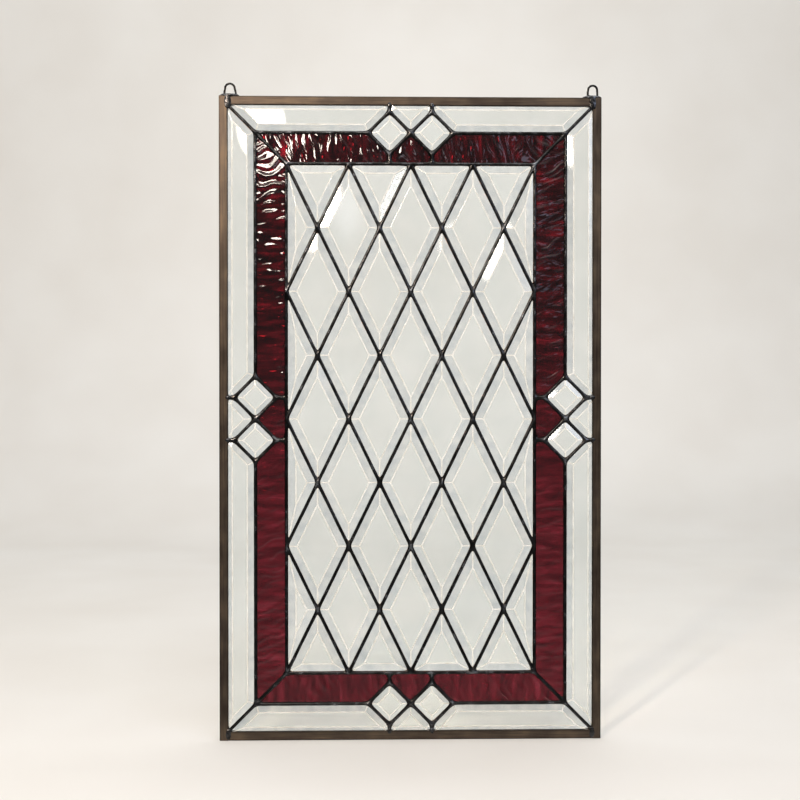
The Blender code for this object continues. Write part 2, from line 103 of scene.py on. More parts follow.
def turned(outline, quarter):
    """The outline after clockwise quarter turns, each of which takes (x, z) to (z, -x)."""
    outline = np.asarray(outline, float)
    for _ in range(quarter):
        outline = np.stack([outline[:, 1], -outline[:, 0]], axis=1)
    return outline


def both_ways(outline):
    """Mirror image (-x, z) in reverse order, and the outline: both turn anticlockwise."""
    outline = np.asarray(outline, float)
    return [outline[::-1] * (-1, 1), outline]


def inward(outline):
    """For each edge the unit normal that points into the pane, and its offset n . p."""
    along = np.roll(outline, -1, axis=0) - outline
    along /= np.linalg.norm(along, axis=1, keepdims=True)
    normals = np.stack([-along[:, 1], along[:, 0]], axis=1)
    return normals, (normals * outline).sum(axis=1)


def ground_glass(outline, bevel):
    """Corners of the solid that lies inside every plane a . p <= b of the pane.

    The planes are the back, the front, one upright cut along each edge, and one bevel along
    each edge that rises from the edge's thickness to the full thickness over its width.
    """
    normals, offsets = inward(outline)
    offsets = offsets + GLASS_GAP
    slope = (BEVELLED_GLASS - BEVEL_EDGE) / bevel
    zero = np.zeros(len(outline))
    cuts = np.column_stack([-normals[:, 0], zero, -normals[:, 1]])
    slopes = np.column_stack([-slope * normals[:, 0], zero - 1, -slope * normals[:, 1]])
    planes = np.vstack([[[0, 1, 0], [0, -1, 0]], cuts, slopes])
    limits = np.concatenate([
        [GLASS_BACK, BEVELLED_GLASS - GLASS_BACK],
        -offsets,
        BEVEL_EDGE - GLASS_BACK - slope * offsets,
    ])
    triples = np.array(list(itertools.combinations(range(len(planes)), 3)))
    triples = triples[np.abs(np.linalg.det(planes[triples])) > 1e-4]
    corners = np.linalg.solve(planes[triples], limits[triples][..., None])[..., 0]
    inside = (corners @ planes.T <= limits + 1e-8).all(axis=1)
    corners = np.unique(np.round(corners[inside], 7), axis=0)
    return corners + (0, 0, MIDDLE_Z)


def in_scene(name, data):
    """A new object that holds a mesh, a lamp or a camera."""
    thing = bpy.data.objects.new(name, data)
    bpy.context.scene.collection.objects.link(thing)
    return thing


def cut_pane(name, outline, bevel, node):
    """The hull of the pane's corners, with its sharp edges taken off as a grinder leaves them.

    A face that leans, and lies neither flat nor upright, is a bevel: it takes the second
    material, and the rounded edges take the third.
    """
    shape = bmesh.new()
    for corner in ground_glass(outline, bevel):
        shape.verts.new(corner)
    bmesh.ops.convex_hull(shape, input=shape.verts)
    bmesh.ops.dissolve_limit(
        shape, angle_limit=math.radians(0.5), verts=shape.verts, edges=shape.edges
    )
    bmesh.ops.recalc_face_normals(shape, faces=shape.faces)
    for face in shape.faces:
        face.smooth = True
        face.material_index = int(-0.999 < face.normal.y < -0.5)
    mesh = bpy.data.meshes.new(name)
    shape.to_mesh(mesh)
    shape.free()
    pane = in_scene(name, mesh)
    for material in (clear_glass, bevel_glass_painted_shade, arris_glass):
        mesh.materials.append(material)
    arris = pane.modifiers.new("arris", "BEVEL")
    arris.width = ARRIS
    arris.segments = 3
    arris.material = 2
    arris.limit_method = "ANGLE"
    arris.angle_limit = math.radians(8)
    arris.harden_normals = True
    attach(pane, "root")
    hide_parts(node)
    panes.append({"outline": outline, "slope": (BEVELLED_GLASS - BEVEL_EDGE) / bevel})


def linear(hex_colour):
    """sRGB hex to linear: c / 12.92 in the shadows, else ((c + 0.055) / 1.055) ** 2.4."""
    parts = [int(hex_colour[k:k + 2], 16) / 255 for k in (1, 3, 5)]
    levels = [c / 12.92 if c <= 0.04045 else ((c + 0.055) / 1.055) ** 2.4 for c in parts]
    return (*levels, 1.0)


def add(tree, kind, sockets, **settings):
    """Adds a node with its settings, and gives each named socket a value or a link."""
    node = tree.nodes.new(kind)
    for key, value in settings.items():
        setattr(node, key, value)
    for key, value in sockets.items():
        if isinstance(value, bpy.types.NodeSocket):
            tree.links.new(value, node.inputs[key])
        else:
            node.inputs[key].default_value = value
    return node


def stops(ramp, colours):
    """Sets a colour ramp's stops from (place, hex colour) pairs."""
    elements = ramp.color_ramp.elements
    while len(elements) < len(colours):
        elements.new(0.5)
    for element, (place, colour) in zip(elements, colours):
        element.position = place
        element.color = linear(colour)


def see_through(tree, shader, shade):
    """Lamp light passes the glass in the given shade, instead of stopping at it."""
    path = add(tree, "ShaderNodeLightPath", {})
    clear = add(tree, "ShaderNodeBsdfTransparent", {"Color": linear(shade)})
    mixed = add(tree, "ShaderNodeMixShader", {0: path.outputs["Is Shadow Ray"]})
    tree.links.new(shader.outputs[0], mixed.inputs[1])
    tree.links.new(clear.outputs[0], mixed.inputs[2])
    add(tree, "ShaderNodeOutputMaterial", {"Surface": mixed.outputs[0]})


def new_material(name):
    """A material, its emptied node tree, and the place on the object as a first node."""
    material = bpy.data.materials.new(name)
    material.use_nodes = True
    tree = material.node_tree
    tree.nodes.clear()
    return material, tree, add(tree, "ShaderNodeTexCoord", {}).outputs["Object"]


def glass_finish(name, shades, grain, detail, passing, roughness, transmission=1.0):
    """Clear glass whose tint wanders between two shades, on noise of a grain in metres."""
    material, tree, place = new_material(name)
    noise = add(tree, "ShaderNodeTexNoise", {
        "Vector": place, "Scale": 1 / grain, "Detail": detail,
    })
    tint = add(tree, "ShaderNodeValToRGB", {"Fac": noise.outputs["Fac"]})
    stops(tint, shades)
    shader = add(tree, "ShaderNodeBsdfPrincipled", {
        "Base Color": tint.outputs["Color"],
        "Roughness": roughness,
        "IOR": GLASS_IOR,
        "Transmission Weight": transmission,
    })
    see_through(tree, shader, passing)
    return material


# Polished float glass: almost colourless, a little green through its thickness, with a faint
# film that handling and cleaning leave on it.
clear_glass = glass_finish(
    "polished_float_glass", [(0.30, "#f0f5f4"), (0.70, "#f8fbfa")],
    grain=0.045, detail=3.0, passing="#f2f4ef", roughness=0.0,
)

# The same glass where it is ground to a bevel and polished again: a little duller, with the last of
# the wheel's marks in it. Its darker, cooler tint is painted shade, standing in for the light and
# shade that the bevels bend into view.
bevel_glass_painted_shade = glass_finish(
    "painted_shade_bevel", [(0.34, "#c9d2da"), (0.66, "#edf0f1")],
    grain=0.016, detail=4.0, passing="#e9edef", roughness=0.03,
)

# The narrow rounded line where a bevel meets the flat: polished less well, so that it holds a
# trace of white and catches light.
arris_glass = glass_finish(
    "half_polished_arris", [(0.38, "#e9e6da"), (0.62, "#fffdf6")],
    grain=0.010, detail=2.0, passing="#f2f1ec", roughness=0.10, transmission=0.62,
)


def clear_outlines(quarter):
    """Long pane, five-sided pane and long pane; the last edge of each stands in the rail."""
    edge_half, edge = reach(EDGE_LINE, quarter)
    outer_half, outer = reach(OUTER_LINE, quarter)
    tip = outer + POINT
    long_pane = [
        (POINT, edge), (POINT, tip), (2 * POINT, outer), (outer_half, outer), (edge_half, edge)
    ]
    middle = [(-POINT, edge), (-POINT, tip), (0, outer), (POINT, tip), (POINT, edge)]
    first, last = both_ways(long_pane)
    return [turned(outline, quarter) for outline in (first, middle, last)]


for side, quarter in SIDES.items():
    for number, outline in enumerate(clear_outlines(quarter), 1):
        name = f"clear_pane_{side}_{number}"
        cut_pane(name, outline, BORDER_BEVEL, "clear_border_" + side)
        panes[-1]["in_rail"] = len(outline) - 1


# Bevelled squares
# A pair of small stock bevels on each side, set on their points where the two borders meet.

SQUARE_BEVEL = 8.0 * MM

for side, quarter in SIDES.items():
    outer = reach(OUTER_LINE, quarter)[1]
    square = [(0, outer), (POINT, outer - POINT), (2 * POINT, outer), (POINT, outer + POINT)]
    for number, outline in enumerate(both_ways(square), 1):
        name = f"{side}_{number}"
        outline = turned(outline, quarter)
        cut_pane("bevelled_square_" + name, outline, SQUARE_BEVEL, "square_" + name)


# Bevelled diamonds
# Stock bevels in rows of four, offset rows between them, and half diamonds along the edges.
# They fill the inner rectangle, and their seams cross at its evenly spaced nodes.

DIAMOND_BEVEL = 12.2 * MM
COLUMNS = 4
ROWS = 4


def node_at(i, j):
    """Node (i, j): i half columns from the left, j half rows from the top."""
    return INNER_LINE * (i / COLUMNS - 1, 1 - j / ROWS)


def diamond_corners(i, j):
    """Corners of the diamond about node (i, j) that lie in the field, anticlockwise."""
    places = [(i, j - 1), (i - 1, j), (i, j + 1), (i + 1, j)]
    inside = [(a, b) for a, b in places if 0 <= a <= 2 * COLUMNS and 0 <= b <= 2 * ROWS]
    return np.array([node_at(a, b) for a, b in inside])


def field_node(i, j):
    """Name of the CAD node that holds the pane about node (i, j)."""
    if 0 < i < 2 * COLUMNS and 0 < j < 2 * ROWS:
        return f"diamond_{j}_{i}"
    height = "top" if j in (0, 1) else "bottom"
    hand = "left" if i in (0, 1) else "right"
    on_row = j in (0, 2 * ROWS)
    if on_row and i in (1, 2 * COLUMNS - 1) or not on_row and j in (1, 2 * ROWS - 1):
        return f"corner_half_diamonds_{height}_{hand}"
    side, place_along = (height, i) if on_row else (hand, j)
    return f"half_diamond_{side}_{(place_along - 1) // 2}"


for j in range(2 * ROWS + 1):
    for i in range(1 - j % 2, 2 * COLUMNS + 1, 2):
        outline = diamond_corners(i, j)
        cut_pane(f"diamond_pane_{j}_{i}", outline, DIAMOND_BEVEL, field_node(i, j))


# Ruby border
# Three panes on each side of dark ruby glass, rolled with a flowing ripple on its face. The
# ripples run across each strip, as the sheet was cut, and its back is smooth.

RUBY_GLASS = 3.0 * MM
RIPPLE_HEIGHT = 0.17 * MM
GRID_STEP = (1.0 * MM, 1.45 * MM)
EDGE_FADE = 4 * MM


def waves(points, lengths, count, seed):
    """Smooth random field of spread 1: the sum of plane waves sin(2 pi k . p + phase).

    Each wave's k has 1 / length along either axis, its lengths drawn from the two ranges.
    """
    draw = np.random.default_rng(seed)
    numbers = np.stack([1 / draw.uniform(low, high, count) for low, high in lengths], axis=1)
    numbers[:, 1] *= draw.choice([-1.0, 1.0], count)
    phases = draw.uniform(0, 2 * np.pi, count)
    return np.sin(2 * np.pi * points @ numbers.T + phases).sum(axis=-1) * math.sqrt(2 / count)


def edge_distance(points, outline):
    """How far each point of the plan lies inside the nearest edge of an outline."""
    normals, offsets = inward(outline)
    return (points @ normals.T - offsets).min(axis=-1)


def shrunk(outline, distances):
    """The outline's corners after each edge has moved inwards by its distance.

    Edges n . p = a and m . p = b meet at p = (a m_z - b n_z, b n_x - a m_x) / (n x m).
    """
    normals, offsets = inward(outline)
    own = offsets + distances
    before, at = np.roll(normals, 1, axis=0), np.roll(own, 1)
    spread = before[:, 0] * normals[:, 1] - before[:, 1] * normals[:, 0]
    return np.stack([
        (at * normals[:, 1] - own * before[:, 1]) / spread,
        (before[:, 0] * own - normals[:, 0] * at) / spread,
    ], axis=1)


def smooth_step(value, low, high):
    """0 below low, 1 above high, and t * t * (3 - 2 t) between them."""
    share = np.clip((value - low) / (high - low), 0, 1)
    return share * share * (3 - 2 * share)


def strip_grid(outline):
    """A grid over a convex outline: its rows run from edge to edge, and through its corners."""
    normals, offsets = inward(outline)
    levels = np.unique(np.round(outline[:, 1], 7))
    spans = [
        np.linspace(low, high, max(2, round((high - low) / GRID_STEP[1])), endpoint=False)
        for low, high in zip(levels[:-1], levels[1:])
    ]
    rows = np.append(np.concatenate(spans), levels[-1])
    leaning = np.abs(normals[:, 0]) > 1e-6
    meets = (offsets[leaning] - rows[:, None] * normals[leaning, 1]) / normals[leaning, 0]
    from_left = normals[leaning, 0] > 0
    left = np.where(from_left, meets, -1).max(axis=1)
    right = np.where(from_left, 1, meets).min(axis=1)
    columns = np.linspace(0, 1, round(np.ptp(outline[:, 0]) / GRID_STEP[0]))
    along = left[:, None] + (right - left)[:, None] * columns
    return np.stack([along, np.broadcast_to(rows[:, None], along.shape)], axis=-1)


def ripple(points, seed):
    """Ridges 8 to 20 mm apart that slant across the strip, wander along it and branch.

    The square of the broad waves is added, 0.2 (w * w - 1), for sharp crests and wide hollows,
    and fine waves lie over them.
    """
    wander = waves(points, [(0.03, 0.09), (0.03, 0.09)], 10, seed)
    slant = 0.28 * points[..., 1] + 2.6 * MM * wander
    bent = points + np.stack([slant, np.zeros_like(slant)], axis=-1)
    broad = waves(bent, [(0.008, 0.020), (0.04, 0.12)], 16, seed + 1)
    fine = waves(bent, [(0.0035, 0.006), (0.012, 0.04)], 16, seed + 2)
    return 0.82 * broad + 0.2 * (broad**2 - 1) + 0.15 * fine


def mark(mesh, name, values):
    """Stores a number or a vector for each point of a mesh."""
    kind, key = ("FLOAT", "value") if values.ndim == 1 else ("FLOAT_VECTOR", "vector")
    mesh.attributes.new(name, kind, "POINT").data.foreach_set(key, values.ravel())


def close_up(mesh, merge, sharp):
    """Joins points nearer than merge, turns faces outwards, and shades edges under sharp smooth."""
    shape = bmesh.new()
    shape.from_mesh(mesh)
    if merge:
        bmesh.ops.remove_doubles(shape, verts=shape.verts, dist=merge)
    bmesh.ops.recalc_face_normals(shape, faces=shape.faces)
    for face in shape.faces:
        face.smooth = True
    shape.to_mesh(mesh)
    shape.free()
    mesh.set_sharp_from_angle(angle=math.radians(sharp))


def rippled_pane(name, outline, quarter, seed, node):
    """Rippled face, smooth back and cut sides of a pane that lies on the top side, turned."""
    cut = shrunk(outline, GLASS_GAP)
    plan = strip_grid(cut)
    rows, columns = plan.shape[:2]
    fade = 0.25 + 0.75 * smooth_step(edge_distance(plan, cut), 0, EDGE_FADE)
    ridge = fade * np.clip(ripple(plan, seed), -2.2, 2.2)
    height = RUBY_GLASS + RIPPLE_HEIGHT * ridge
    number = np.arange(rows * columns).reshape(rows, columns)
    ring = np.concatenate([number[0], number[1:, -1], number[-1, -2::-1], number[-2:0:-1, 0]])
    behind = rows * columns + np.arange(len(ring))
    flat = turned(plan.reshape(-1, 2), quarter)
    face = np.column_stack([flat[:, 0], GLASS_BACK - height.ravel(), flat[:, 1] + MIDDLE_Z])
    back = face[ring]
    back[:, 1] = GLASS_BACK
    cells = np.stack([number[:-1, :-1], number[:-1, 1:], number[1:, 1:], number[1:, :-1]], -1)
    sides = np.stack([ring, behind, np.roll(behind, -1), np.roll(ring, -1)], -1)
    polygons = cells.reshape(-1, 4).tolist() + sides.tolist() + [behind.tolist()]
    mesh = bpy.data.meshes.new(name)
    mesh.from_pydata(np.vstack([face, back]).tolist(), [], polygons)
    local = np.vstack([plan.reshape(-1, 2), plan.reshape(-1, 2)[ring]])
    mark(mesh, "strip", np.column_stack([local, 0 * local[:, :1]]))
    mark(mesh, "ridge", np.append(ridge.ravel(), ridge.ravel()[ring]))
    close_up(mesh, 0.02 * MM, 40)
    mesh.materials.append(ruby_glass)
    pane = in_scene(name, mesh)
    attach(pane, "root")
    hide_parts(node)
    panes.append({"outline": turned(outline, quarter), "slope": 0.0})


# Rolled ruby glass: a deep wine red that looks nearly black where light only falls on it, with
# streaks of clear red drawn out along the ripples. Bright red flecks at the upper left are painted
# glints of light shining through, and the lighter plum lower down is a painted reflection of the
# pale floor.
ruby_glass, tree, place = new_material("rolled_ruby_glass")
strip = add(tree, "ShaderNodeAttribute", {}, attribute_name="strip").outputs["Vector"]
drawn = add(tree, "ShaderNodeMapping", {"Vector": strip, "Scale": (1 / 0.010, 1 / 0.050, 1)})
streak = add(tree, "ShaderNodeTexNoise", {
    "Vector": drawn.outputs["Vector"], "Scale": 1.0, "Detail": 2.0, "Distortion": 0.6,
})
spot = add(tree, "ShaderNodeSeparateXYZ", {"Vector": place})
# Share of the painted reflection, rising towards the bottom of the panel.
lower = add(tree, "ShaderNodeMapRange", {
    "Value": spot.outputs["Z"], "From Min": -0.30, "From Max": -0.62, "To Max": 1.0,
})
ridge = add(tree, "ShaderNodeAttribute", {}, attribute_name="ridge").outputs["Fac"]
level = add(tree, "ShaderNodeMath", {
    0: ridge, 1: -0.055, 2: streak.outputs["Fac"],
}, operation="MULTIPLY_ADD")
dark = add(tree, "ShaderNodeValToRGB", {"Fac": level.outputs[0]})
stops(dark, [(0.32, "#1a0407"), (0.50, "#2f060b"), (0.64, "#4c0a12"), (0.80, "#821220")])
# Painted reflection: a lighter plum ramp, used lower down, standing in for the pale floor mirrored
# in the lower strips.
plum_painted_reflection = add(tree, "ShaderNodeValToRGB", {"Fac": level.outputs[0]})
stops(plum_painted_reflection, [(0.32, "#480e17"), (0.50, "#5c141e"), (0.64, "#6d1b27"), (0.78, "#842838")])
ruby = add(tree, "ShaderNodeMix", {
    0: lower.outputs["Result"], 6: dark.outputs["Color"], 7: plum_painted_reflection.outputs["Color"],
}, data_type="RGBA")
# Painted glints: sparse bright red flecks, only at the upper left, stand in for light shining
# through the ripples.
short = add(tree, "ShaderNodeMapping", {"Vector": strip, "Scale": (1 / 0.0032, 1 / 0.013, 1)})
thin = add(tree, "ShaderNodeTexNoise", {
    "Vector": short.outputs["Vector"], "Scale": 1.0, "Detail": 0.0,
})
painted_glint = add(tree, "ShaderNodeMapRange", {
    "Value": thin.outputs["Fac"], "From Min": 0.76, "From Max": 0.81, "To Max": 1.0,
})
glint_upper = add(tree, "ShaderNodeMath", {0: 1.0, 1: lower.outputs["Result"]}, operation="SUBTRACT")
glint_leftward = add(tree, "ShaderNodeMapRange", {
    "Value": spot.outputs["X"], "From Min": 0.16, "From Max": 0.06, "To Min": 0.15, "To Max": 1.0,
})
share = add(tree, "ShaderNodeMath", {
    0: painted_glint.outputs["Result"], 1: glint_upper.outputs[0],
}, operation="MULTIPLY")
shown = add(tree, "ShaderNodeMath", {
    0: share.outputs[0], 1: glint_leftward.outputs["Result"],
}, operation="MULTIPLY")
# The painted glints are mixed into the glass colour in bright red.
with_painted_glints = add(tree, "ShaderNodeMix", {
    0: shown.outputs[0], 6: ruby.outputs[2], 7: linear("#d8202c"),
}, data_type="RGBA")
shader = add(tree, "ShaderNodeBsdfPrincipled", {
    "Base Color": with_painted_glints.outputs[2],
    "Roughness": 0.03,
    "IOR": GLASS_IOR,
    "Transmission Weight": 1.0,
})
see_through(tree, shader, "#7a2030")


def ruby_outlines(quarter):
    """Long pane, five-sided pane and long pane inside the clear ones, on the top side."""
    outer_half, outer = reach(OUTER_LINE, quarter)
    inner_half, inner = reach(INNER_LINE, quarter)
    tip = outer - POINT
    long_pane = [
        (POINT, tip), (POINT, inner), (inner_half, inner), (outer_half, outer),
        (2 * POINT, outer),
    ]
    middle = [(-POINT, inner), (POINT, inner), (POINT, tip), (0, outer), (-POINT, tip)]
    first, last = both_ways(long_pane)
    return [first, np.array(middle), last]


for side, quarter in SIDES.items():
    for number, outline in enumerate(ruby_outlines(quarter), 1):
        name = f"ruby_pane_{side}_{number}"
        seed = 100 * quarter + 10 * number
        rippled_pane(name, outline, quarter, seed, "ruby_border_" + side)


# Solder seams
# Copper foil is wrapped round the edge of every pane, and solder run along it on both faces
# joins them. It is stained black, stands in a rounded bead, and pools a little at each joint.

BEAD_HALF = 2.25 * MM
BACK_BEAD_HALF = 2.4 * MM
FOIL_HALF = 0.74 * MM
FRONT_CREST = 2.88 * MM
BACK_CREST = 3.10 * MM
CREST_IN_RAIL = 2.0 * MM
FOIL_GAP = 0.05 * MM
COLUMN_STEP = 4.0 * MM
JOINT_POOL = 3.4 * MM
DROP_DEPTH = -2.85 * MM
RAIL_DROP_DEPTH = -3.55 * MM

# One row of the bead's section each: the side of the panel that it lies on (-1 front, 1 back),
# its share of the bead's half width (None at the foil), and its distance in from the seam line
# where a pane's edge stands in the rail.
SECTION = [
    (-1, 0.0, -0.50 * MM),
    (-1, 0.35, -0.45 * MM),
    (-1, 0.62, -0.35 * MM),
    (-1, 0.82, -0.15 * MM),
    (-1, 0.95, 0.20 * MM),
    (-1, 1.0, 0.45 * MM),
    (-1, None, 0.50 * MM),
    (1, None, 0.50 * MM),
    (1, 1.0, 0.45 * MM),
    (1, 0.85, 0.20 * MM),
    (1, 0.5, -0.35 * MM),
    (1, 0.0, -0.50 * MM),
]

# The faces between each of these rows and the next are foil.
FOIL_ROWS = range(5, 8)

joints = np.unique(np.round(np.concatenate([pane["outline"] for pane in panes]), 7), axis=0)


def column_places(outline):
    """Edge number and share along it of each column, closer together towards the joints.

    Between two joints the share is t - 0.08 sin(2 pi t) of the way, the same from both ends.
    """
    numbers, shares = [], []
    for number, (start, end) in enumerate(zip(outline, np.roll(outline, -1, axis=0))):
        span = end - start
        length = np.linalg.norm(span)
        along = (joints - start) @ span / length**2
        aside = np.abs((joints - start) @ np.array([span[1], -span[0]])) / length
        on_edge = (aside < 1e-6) & (along > -1e-6) & (along < 1 - 1e-6)
        marks = np.append(np.sort(along[on_edge]), 1.0)
        for low, high in zip(marks[:-1], marks[1:]):
            count = max(3, int((high - low) * length / COLUMN_STEP + 0.5001))
            step = np.arange(count) / count
            step = step - 0.08 * np.sin(2 * np.pi * step)
            numbers.append(np.full(count, number))
            shares.append(low + step * (high - low))
    return np.concatenate(numbers), np.concatenate(shares)


def moved_in(outline, distances, numbers, shares):
    """Points at the columns' shares along the edges, each edge moved inwards by its distance."""
    corners = shrunk(outline, distances)
    following = np.roll(corners, -1, axis=0)
    return corners[numbers] + shares[:, None] * (following - corners)[numbers]


def rounded_ring(ring, rounds):
    """A closed line of points, each moved to (before + 2 own + after) / 4, a few times."""
    for _ in range(rounds):
        ring = (np.roll(ring, 1, axis=0) + 2 * ring + np.roll(ring, -1, axis=0)) / 4
    return ring


def joint_distance(plan):
    """How far each point of the plan lies from the nearest joint."""
    return np.sqrt(((plan[:, None, :] - joints) ** 2).sum(axis=-1)).min(axis=-1)


def crest(plan, facing):
    """Depth of the bead's middle: lumpy, higher at a joint, and lower inside the rail."""
    lumps = waves(plan, [(0.011, 0.04), (0.011, 0.04)], 14, 5 + facing)
    pooled = np.exp(-(joint_distance(plan) / JOINT_POOL) ** 2)
    inside = (HALF_SIZE - np.abs(plan)).min(axis=-1)
    out_of_rail = smooth_step(inside, RAIL_FACE + 0.2 * MM, RAIL_FACE + 1.6 * MM)
    if facing < 0:
        level = FRONT_CREST + 0.11 * MM * lumps + 0.55 * MM * pooled * (1 + 0.3 * lumps)
    else:
        level = BACK_CREST + 0.08 * MM * lumps + 0.25 * MM * pooled
    return facing * (CREST_IN_RAIL + (level - CREST_IN_RAIL) * out_of_rail)


def collar(pane):
    """The half of every seam that lies on one pane: the bead's section, carried round it.

    Returns its grid of points, how worn each is, and which columns stand in the rail.
    """
    outline = pane["outline"]
    numbers, shares = column_places(outline)
    in_rail = np.arange(len(outline)) == pane.get("in_rail")
    normals = inward(outline)[0]
    rows, worn = [], []
    for facing, share, rail_distance in SECTION:
        half = BEAD_HALF if facing < 0 else BACK_BEAD_HALF
        distance = FOIL_HALF if share is None else share * half
        plan = moved_in(outline, np.where(in_rail, rail_distance, distance), numbers, shares)
        near = joint_distance(plan)
        rise = 0.0
        if share:
            swell = waves(plan, [(0.012, 0.05), (0.012, 0.05)], 12, 21 + facing)
            swell *= 0.15 * MM * share * (1 - np.exp(-(near / (6 * MM)) ** 2))
            plan += normals[numbers] * swell[:, None]
            plan += share**2 * (rounded_ring(plan, 5) - plan)
        if share is not None:
            rise = math.sqrt(1 - share**2)
        depth_in = np.maximum(edge_distance(plan, outline) - GLASS_GAP, 0)
        glass = GLASS_BACK
        if facing < 0:
            thick = np.minimum(BEVEL_EDGE + pane["slope"] * depth_in, BEVELLED_GLASS)
            glass = GLASS_BACK - (thick if pane["slope"] else RUBY_GLASS)
        seat = glass + facing * FOIL_GAP
        depth = seat + (crest(plan, facing) - seat) * rise
        rows.append(np.column_stack([plan[:, 0], depth + 0 * plan[:, 0], plan[:, 1] + MIDDLE_Z]))
        at_joint = np.exp(-(near / (3.6 * MM)) ** 2)
        worn.append(rise * (0.84 + 0.16 * at_joint) * (1.0 if facing < 0 else 0.6))
    return np.array(rows), np.array(worn), in_rail[numbers]


points, quads, foil, worn = [], [], [], []
total = 0
for pane in panes:
    grid, wear, rim = collar(pane)
    number = total + np.arange(wear.size).reshape(wear.shape)
    after = np.roll(number, -1, axis=1)
    cells = np.stack([number[:-1], after[:-1], after[1:], number[1:]], axis=-1)
    quads.append(cells.reshape(-1, 4))
    is_foil = np.isin(np.arange(len(grid) - 1), FOIL_ROWS)
    foil.append(np.repeat(is_foil, grid.shape[1]))

    # Where a pane's edge stands in the rail, foil closes the section from back to front.
    wall = np.stack([number[-1], after[-1], after[0], number[0]], axis=-1)[rim]
    quads.append(wall)
    foil.append(np.full(len(wall), True))
    points.append(grid.reshape(-1, 3))
    worn.append(wear.ravel())
    total += wear.size


def lump(centre, size, seed, rows=15, columns=22):
    """A closed, lumpy drop: an ellipsoid on angles of height and turn, its radius uneven."""
    up, turn = np.meshgrid(
        np.linspace(-np.pi / 2, np.pi / 2, rows),
        np.arange(columns) * 2 * np.pi / columns,
        indexing="ij",
    )
    ball = np.stack([np.cos(up) * np.cos(turn), np.sin(up), np.cos(up) * np.sin(turn)], axis=-1)
    uneven = 1 + 0.05 * waves(ball, [(1.2, 3.0)] * 3, 8, seed)
    return np.array(centre) + ball * uneven[..., None] * size


def drops():
    """Drops at the seams' ends on the rail, where the solder also takes hold of the frame.

    Each is its place in plan, its depth, and its three radii in millimetres. At the lower
    corners one more runs down the joint of the two rails.
    """
    found = []
    for quarter in SIDES.values():
        lip = reach(HALF_SIZE - RAIL_FACE, quarter)[1]
        for across in (-POINT, POINT):
            size = (3.3, 2.0, 4.4) if quarter % 2 == 0 else (4.4, 2.0, 3.3)
            spot = turned([(across, lip + 0.2 * MM)], quarter)[0]
            found.append((spot, DROP_DEPTH, size))
    corner = HALF_SIZE - RAIL_FACE - 0.4 * MM
    for hand in (-1, 1):
        for up in (-1, 1):
            found.append((corner * (hand, up), DROP_DEPTH, (3.9, 2.0, 3.9)))
        low_joint = (hand * (HALF_SIZE[0] - RAIL_FACE), -HALF_SIZE[1] + 7.8 * MM)
        found.append((low_joint, RAIL_DROP_DEPTH, (3.8, 1.40, 6.7)))
    return found


def ring_numbers(grid, base):
    """Point numbers of a grid of closed rings from a base on, and its faces, ring to ring."""
    number = base + np.arange(grid.shape[0] * grid.shape[1]).reshape(grid.shape[:2])
    after = np.roll(number, -1, axis=1)
    cells = np.stack([number[:-1], number[1:], after[1:], after[:-1]], axis=-1)
    return number, cells.reshape(-1, 4)


for count, (spot, depth, size) in enumerate(drops()):
    grid = lump((spot[0], depth, spot[1] + MIDDLE_Z), np.array(size) * MM, 40 + count)
    cells = ring_numbers(grid, total)[1]
    quads.append(cells)
    foil.append(np.full(len(cells), False))
    points.append(grid.reshape(-1, 3))
    worn.append(np.full(grid.size // 3, 0.85))
    total += grid.size // 3

mesh = bpy.data.meshes.new("solder_seams")
mesh.from_pydata(np.vstack(points).tolist(), [], np.vstack(quads).tolist())
mark(mesh, "worn", np.concatenate(worn))
mesh.polygons.foreach_set("material_index", np.concatenate(foil).astype(int))
close_up(mesh, 0.01 * MM, 50)

# Solder under black patina: a tin and lead alloy, run molten and stained. It is a dull blue
# black, with soft metal highlights, and the stain is thin or rubbed off on the crests.
black_solder, tree, place = new_material("black_patina_solder")
blotch = add(tree, "ShaderNodeTexNoise", {"Vector": place, "Scale": 1 / 0.011, "Detail": 4.0})
grain = add(tree, "ShaderNodeTexNoise", {"Vector": place, "Scale": 1 / 0.0014, "Detail": 2.0})
rubbed = add(tree, "ShaderNodeAttribute", {}, attribute_name="worn").outputs["Fac"]
thin = add(tree, "ShaderNodeMapRange", {
    "Value": rubbed, "From Min": 0.55, "From Max": 1.0, "To Max": 0.44,
})
bare = add(tree, "ShaderNodeMath", {
    0: blotch.outputs["Fac"], 1: thin.outputs["Result"],
}, operation="ADD")
colour = add(tree, "ShaderNodeValToRGB", {"Fac": bare.outputs[0]})
stops(colour, [(0.40, "#22201f"), (0.66, "#2b2a29"), (0.88, "#474749"), (1.00, "#7c7e82")])
rough = add(tree, "ShaderNodeMapRange", {
    "Value": blotch.outputs["Fac"],
    "From Min": 0.30, "From Max": 0.70, "To Min": 0.17, "To Max": 0.30,
})
dimple = add(tree, "ShaderNodeBump", {
    "Height": grain.outputs["Fac"], "Strength": 0.15, "Distance": 0.10 * MM,
})
shader = add(tree, "ShaderNodeBsdfPrincipled", {
    "Base Color": colour.outputs["Color"],
    "Metallic": 1.0,
    "Roughness": rough.outputs["Result"],
    "Normal": dimple.outputs["Normal"],
})
add(tree, "ShaderNodeOutputMaterial", {"Surface": shader.outputs[0]})

